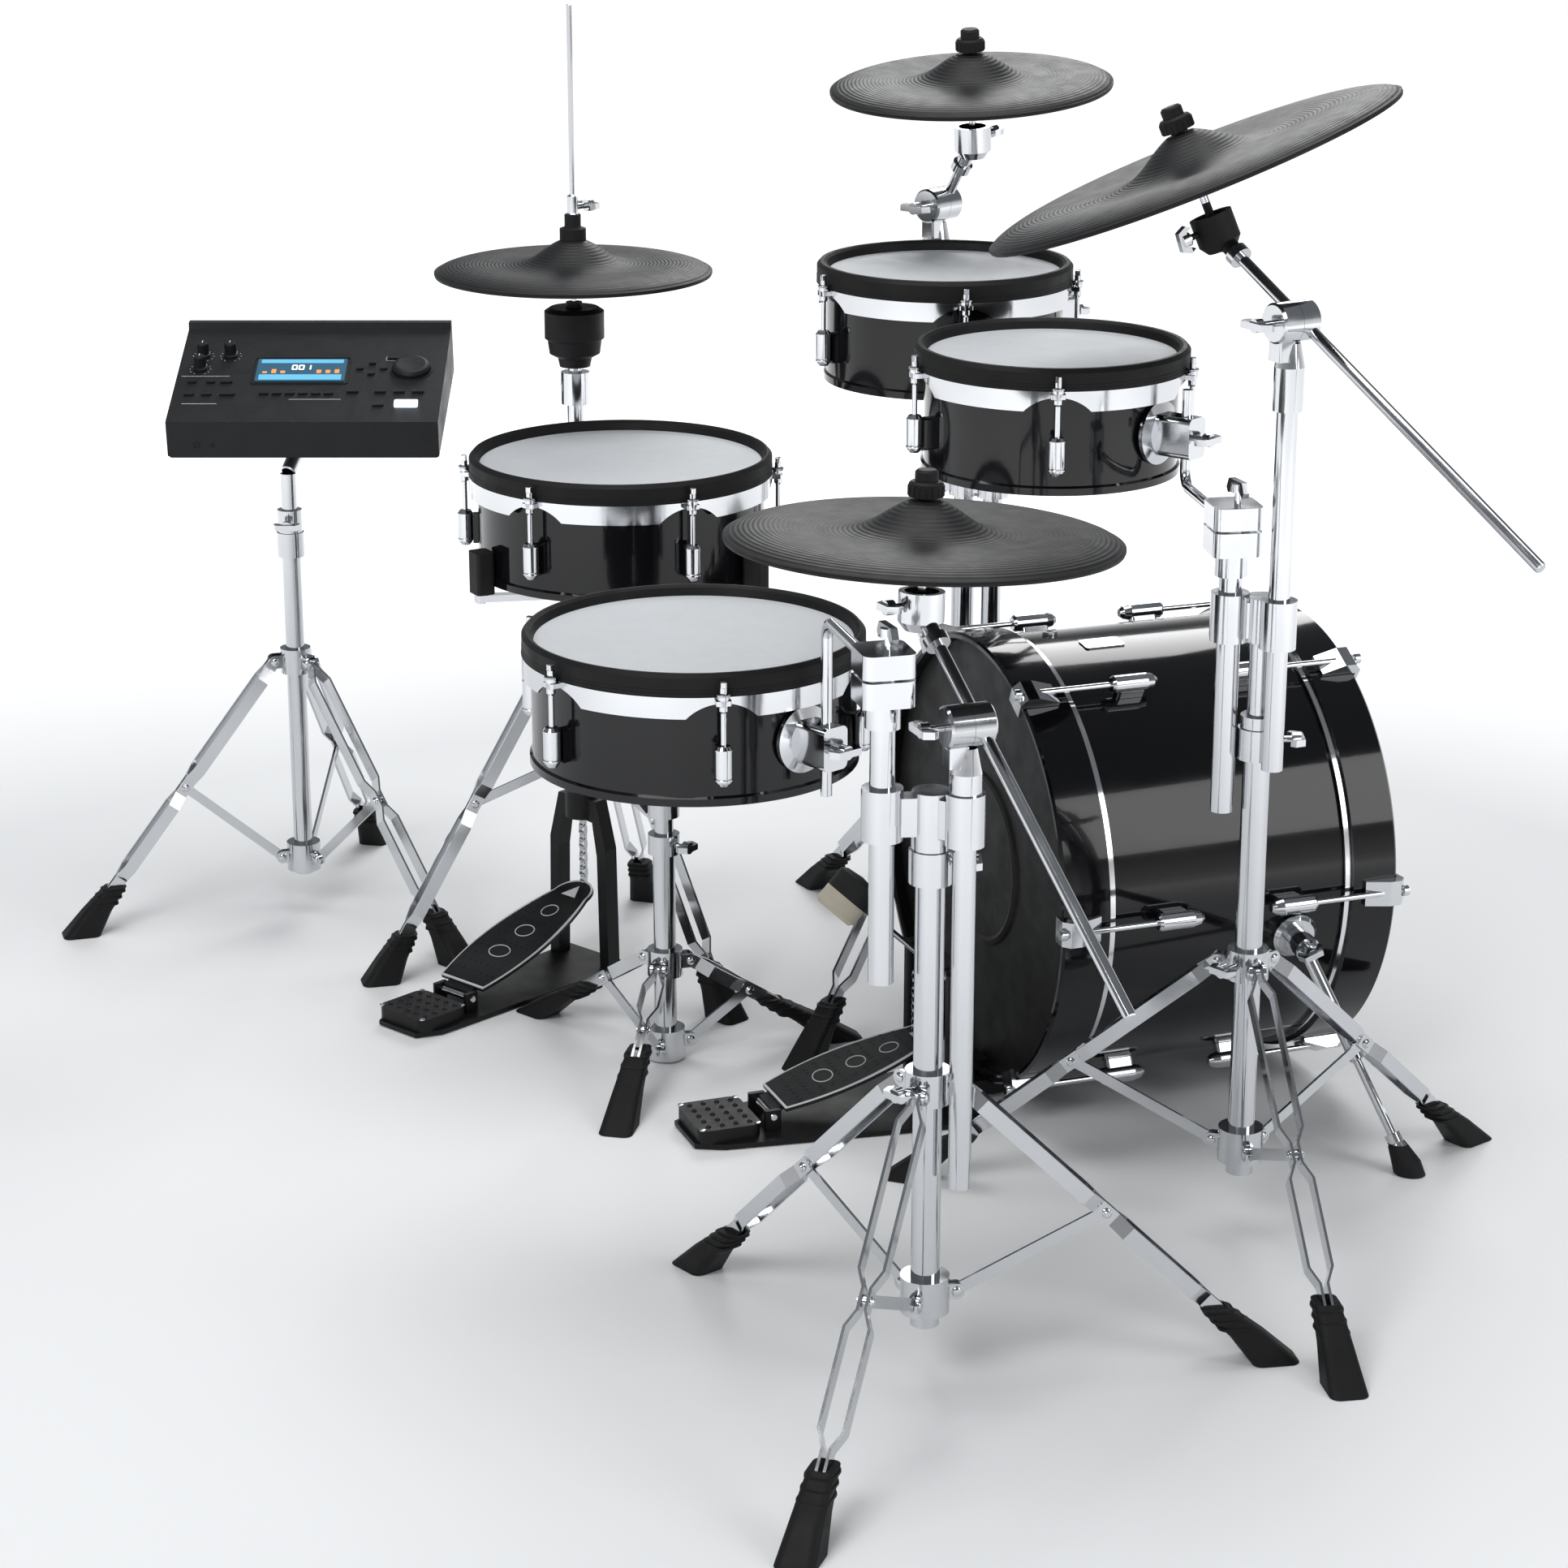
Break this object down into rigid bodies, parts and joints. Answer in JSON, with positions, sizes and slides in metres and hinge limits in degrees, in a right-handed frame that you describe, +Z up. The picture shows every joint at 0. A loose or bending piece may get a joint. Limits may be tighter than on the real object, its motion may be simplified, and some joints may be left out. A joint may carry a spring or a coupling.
{
  "type": "electronic drum kit",
  "caption": "Full-size electronic drum kit with shallow acoustic-style drums, rubber cymbal pads, pedals, chrome tripod stands and a sound module.",
  "frame": {"origin": "on the floor below the middle of the whole kit", "axes": "+Z up, +X to the drummer's left (longest side), -Y is the way the drummer and the kick drum's front face"},
  "size_m": [1.9276, 1.2956, 1.1],
  "materials": {
    "batter_skin": "matte film",
    "black_metal": "powder coat",
    "black_rubber": "matte",
    "chrome": "polished",
    "gloss_black": "gloss lacquer",
    "lit": "lit",
    "matte_black": "matte",
    "mesh_head": "woven mesh",
    "module_black": "fine texture",
    "screen": "gloss",
    "silver_band": "satin"
  },
  "bodies": {
    "stands_and_kick": {"front_stand": "chrome", "hihat_pedal_frame": "black_metal", "hihat_sensor": "matte_black", "hihat_stand": "chrome", "kick_flesh_hoops": "silver_band", "kick_heads": "batter_skin", "kick_hoops": "gloss_black", "kick_pedal_frame": "black_metal", "kick_shell": "gloss_black", "kick_spur_brackets": "chrome", "kick_tension_hardware": "chrome", "kick_vent_and_badge": "chrome", "module_stand": "chrome", "rear_stand": "chrome", "right_stand": "chrome", "rubber_feet": "black_rubber", "snare_stand": "chrome"},
    "snare": {"snare_shell": "gloss_black", "snare_head": "mesh_head", "snare_rim": "black_rubber", "snare_hardware": "chrome", "snare_basket": "chrome"},
    "floor_tom": {"floor_tom_shell": "gloss_black", "floor_tom_head": "mesh_head", "floor_tom_rim": "black_rubber", "floor_tom_hardware": "chrome", "floor_tom_arm": "chrome"},
    "tom_1": {"tom_1_shell": "gloss_black", "tom_1_head": "mesh_head", "tom_1_rim": "black_rubber", "tom_1_hardware": "chrome", "tom_1_arm": "chrome"},
    "tom_2": {"tom_2_shell": "gloss_black", "tom_2_head": "mesh_head", "tom_2_rim": "black_rubber", "tom_2_hardware": "chrome", "tom_2_arm": "chrome"},
    "ride_boom": {"ride_boom": "chrome"},
    "ride_cymbal": {"ride_cymbal": "black_rubber"},
    "crash_left_boom": {"crash_left_boom": "chrome"},
    "crash_left_cymbal": {"crash_left_cymbal": "black_rubber"},
    "crash_right_boom": {"crash_right_boom": "chrome"},
    "crash_right_cymbal": {"crash_right_cymbal": "black_rubber"},
    "kick_footboard": {"kick_pedal_footboard": "black_metal"},
    "kick_beater": {"kick_pedal_beater": "chrome"},
    "kick_spur_left": {"kick_spur_left": "chrome"},
    "kick_spur_right": {"kick_spur_right": "chrome"},
    "hihat_footboard": {"hihat_footboard": "black_metal"},
    "hihat_rod": {"hihat_rod_and_clutch": "chrome", "hihat_cymbal": "black_rubber"},
    "module": {"module_case": "module_black", "module_screen": "screen", "module_buttons": "module_black"},
    "module_dial": {"module_dial": "module_black"},
    "module_lit_button": {"module_lit_button": "lit"},
    "module_volume_knob": {"module_volume_knob": "module_black"},
    "module_mix_knob": {"module_mix_knob": "module_black"},
    "module_tone_knob": {"module_tone_knob": "module_black"}
  },
  "joints": [
    {"name": "kick_footboard_tread", "type": "hinge", "parent": "stands_and_kick", "child": "kick_footboard", "pos_m": [-0.0996, 0.0587, 0.021], "axis": [1, 0, 0], "range_deg": [0, 11.8], "stiffness_Nm_per_rad": 12, "springref_deg": -5.73},
    {"name": "kick_beater_swing", "type": "hinge", "parent": "stands_and_kick", "child": "kick_beater", "pos_m": [-0.0996, -0.1333, 0.15], "axis": [1, 0, 0], "range_deg": [0, 59]},
    {"name": "kick_spur_right_fold", "type": "hinge", "parent": "stands_and_kick", "child": "kick_spur_right", "pos_m": [-0.32462, -0.4393, 0.2168], "axis": [-0.9848, 0, -0.1736], "range_deg": [0, 8]},
    {"name": "kick_spur_left_fold", "type": "hinge", "parent": "stands_and_kick", "child": "kick_spur_left", "pos_m": [0.16542, -0.4393, 0.2168], "axis": [0.9848, 0, -0.1736], "range_deg": [0, 40]},
    {"name": "hihat_footboard_tread", "type": "hinge", "parent": "stands_and_kick", "child": "hihat_footboard", "pos_m": [0.32738, 0.27287, 0.021], "axis": [0.8886, 0.4587, 0], "range_deg": [0, 7], "stiffness_Nm_per_rad": 14, "springref_deg": -11.46},
    {"name": "hihat_rod_travel", "type": "slide", "parent": "stands_and_kick", "child": "hihat_rod", "axis": [0, 0, -1], "range_m": [0, 0.02272]},
    {"name": "snare_tilt", "type": "hinge", "parent": "stands_and_kick", "child": "snare", "pos_m": [0.1144, 0.0947, 0.462], "axis": [-0.6, 0.8, 0], "range_deg": [-8, 8]},
    {"name": "floor_tom_tilt", "type": "hinge", "parent": "stands_and_kick", "child": "floor_tom", "pos_m": [-0.6836, 0.1667, 0.66], "axis": [-0.0979, -0.9952, 0], "range_deg": [-6, 6]},
    {"name": "tom_2_tilt", "type": "hinge", "parent": "stands_and_kick", "child": "tom_2", "pos_m": [-0.4816, -0.2593, 0.703], "axis": [-0.194, -0.981, 0], "range_deg": [-6, 6]},
    {"name": "tom_1_tilt", "type": "hinge", "parent": "stands_and_kick", "child": "tom_1", "pos_m": [0.2274, -0.3313, 0.661], "axis": [-0.7121, 0.7021, 0], "range_deg": [-6, 2.5]},
    {"name": "ride_boom_tilt", "type": "hinge", "parent": "stands_and_kick", "child": "ride_boom", "pos_m": [-0.7219, 0.1068, 0.62], "axis": [0.0159, -0.9999, 0], "range_deg": [-10, 10]},
    {"name": "ride_cymbal_swing", "type": "hinge", "parent": "ride_boom", "child": "ride_cymbal", "pos_m": [-0.62063, 0.1043, 0.78746], "axis": [0, 0.9991, 0.043], "range_deg": [-5, 5], "stiffness_Nm_per_rad": 6},
    {"name": "crash_right_boom_tilt", "type": "hinge", "parent": "stands_and_kick", "child": "crash_right_boom", "pos_m": [-0.5226, -0.2883, 0.898], "axis": [0.1948, -0.9808, 0], "range_deg": [-10, 10]},
    {"name": "crash_right_cymbal_swing", "type": "hinge", "parent": "crash_right_boom", "child": "crash_right_cymbal", "pos_m": [-0.39532, -0.23563, 1.04905], "axis": [0, 0.9424, -0.3345], "range_deg": [-5, 5], "stiffness_Nm_per_rad": 6},
    {"name": "crash_left_boom_tilt", "type": "hinge", "parent": "stands_and_kick", "child": "crash_left_boom", "pos_m": [0.2784, -0.2823, 0.886], "axis": [0.4652, -0.8852, 0], "range_deg": [-10, 10]},
    {"name": "crash_left_cymbal_swing", "type": "hinge", "parent": "crash_left_boom", "child": "crash_left_cymbal", "pos_m": [0.23004, -0.29678, 1.05132], "axis": [0, 0.997, -0.0778], "range_deg": [-5, 5], "stiffness_Nm_per_rad": 6},
    {"name": "module_tilt", "type": "hinge", "parent": "stands_and_kick", "child": "module", "pos_m": [0.73283, 0.33648, 0.58806], "axis": [-0.3453, -0.9385, 0], "range_deg": [-10, 10]},
    {"name": "module_dial_turn", "type": "hinge", "parent": "module", "child": "module_dial", "pos_m": [0.68449, 0.20936, 0.66008], "axis": [-0.304, 0.1118, 0.9461], "continuous": true},
    {"name": "module_volume_turn", "type": "hinge", "parent": "module", "child": "module_volume_knob", "pos_m": [0.79795, 0.42973, 0.67049], "axis": [-0.304, 0.1118, 0.9461], "range_deg": [-140, 140]},
    {"name": "module_mix_turn", "type": "hinge", "parent": "module", "child": "module_mix_knob", "pos_m": [0.7869, 0.3997, 0.67049], "axis": [-0.304, 0.1118, 0.9461], "range_deg": [-140, 140]},
    {"name": "module_tone_turn", "type": "hinge", "parent": "module", "child": "module_tone_knob", "pos_m": [0.77122, 0.43957, 0.66073], "axis": [-0.304, 0.1118, 0.9461], "range_deg": [-140, 140]},
    {"name": "module_lit_button_press", "type": "slide", "parent": "module", "child": "module_lit_button", "axis": [0.304, -0.1118, -0.9461], "range_m": [0, 0.0002], "stiffness_N_per_m": 300}
  ],
  "couplings": [
    {"joint": "kick_beater_swing", "follows": "kick_footboard_tread", "ratio": 5},
    {"joint": "hihat_rod_travel", "follows": "hihat_footboard_tread", "m_per_rad": 0.186}
  ]
}
